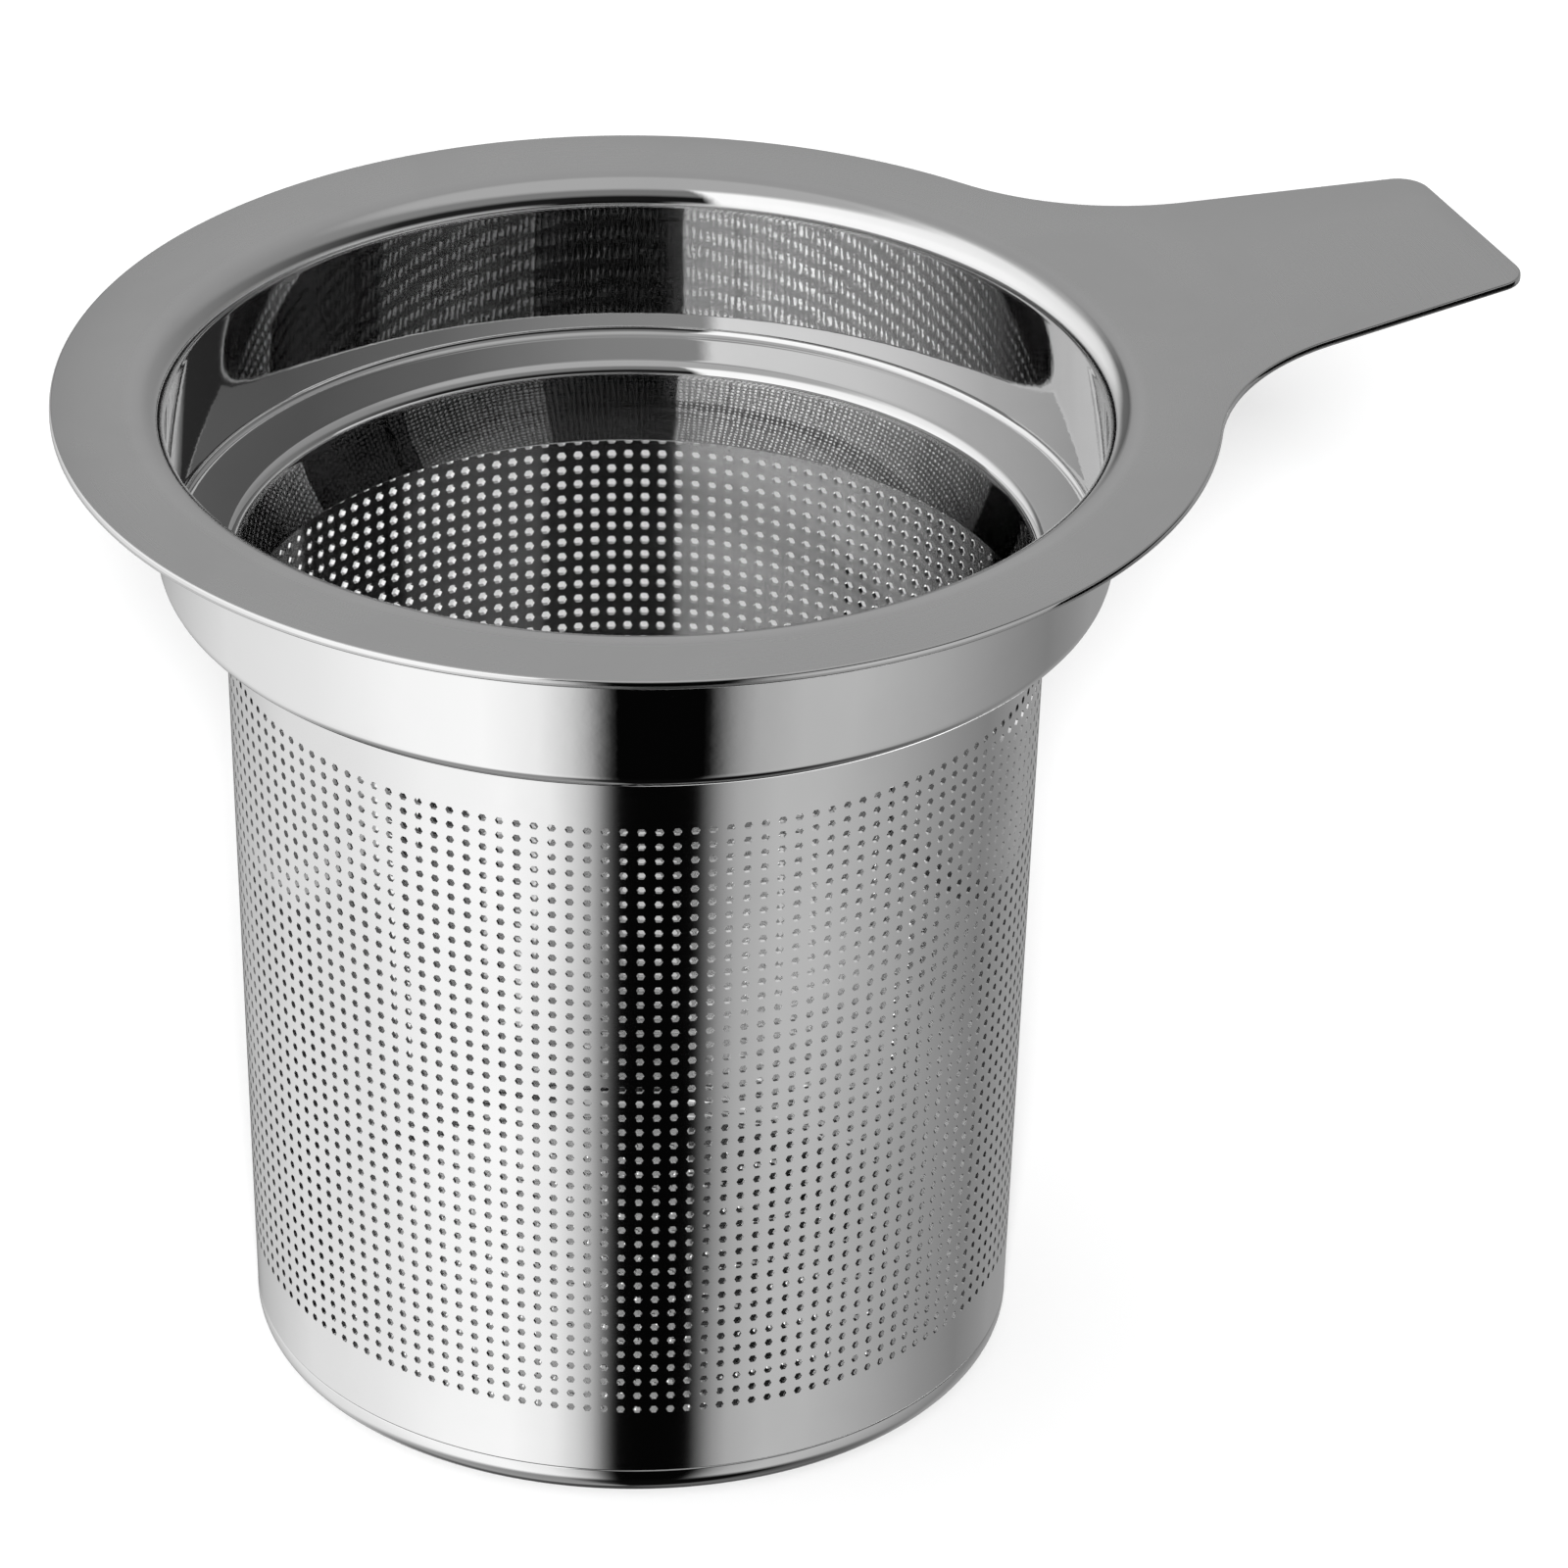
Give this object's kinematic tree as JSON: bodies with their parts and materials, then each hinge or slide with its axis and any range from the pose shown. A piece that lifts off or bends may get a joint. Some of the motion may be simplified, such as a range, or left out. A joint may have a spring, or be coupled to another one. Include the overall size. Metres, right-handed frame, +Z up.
{
  "type": "tea strainer",
  "caption": "Deep basket tea strainer with a flat flange and handle tab, a stepped collar, a perforated sleeve and a stamped base, made to hang in a mug or teapot.",
  "frame": {"origin": "centre of the base's underside, on the axis of the basket", "axes": "+Z up along the basket's axis, +X along the handle, and the part is symmetric about the XZ plane"},
  "size_m": [0.1007, 0.0772, 0.0698],
  "materials": {
    "rim_steel": "satin top face, polished collar",
    "sleeve_steel": "polished perforated sheet",
    "base_steel": "polished"
  },
  "bodies": {
    "root": {"rim_with_handle": "rim_steel", "filter_sleeve": "sleeve_steel", "base_cup": "base_steel"}
  },
  "joints": []
}
